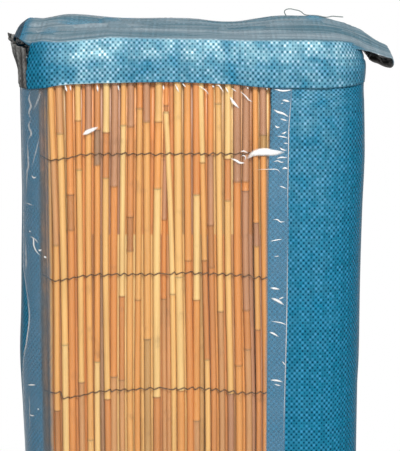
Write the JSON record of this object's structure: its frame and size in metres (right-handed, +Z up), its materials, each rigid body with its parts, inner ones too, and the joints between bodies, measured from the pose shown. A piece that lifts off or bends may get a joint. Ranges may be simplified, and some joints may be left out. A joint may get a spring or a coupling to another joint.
{
  "type": "reed screening mat",
  "caption": "Reed screening mat rolled into a flattened upright bundle, bound with rows of wire and packed in a woven bag with a clear front window and a folded, sewn mouth.",
  "frame": {"origin": "centre of the flat base that the bundle stands on", "axes": "+Z up along the reeds, +X to the right seen from the front, the window faces -Y"},
  "size_m": [0.3293, 0.1572, 1.0177],
  "materials": {
    "reed": "dry reed stems",
    "wire": "dull dark wire",
    "woven_bag": "woven plastic tape, slightly glossy",
    "clear_film": "clear film",
    "thread": "spun thread"
  },
  "bodies": {
    "root": {"reed_mat": "reed", "woven_bag": "woven_bag", "window_film": "clear_film", "closing_thread": "thread", "thread_tail": "thread", "tie_wire_1": "wire", "tie_wire_2": "wire", "tie_wire_3": "wire", "tie_wire_4": "wire", "tie_wire_5": "wire", "tie_wire_6": "wire", "tie_wire_7": "wire", "tie_wire_8": "wire", "tie_wire_9": "wire"}
  },
  "joints": []
}
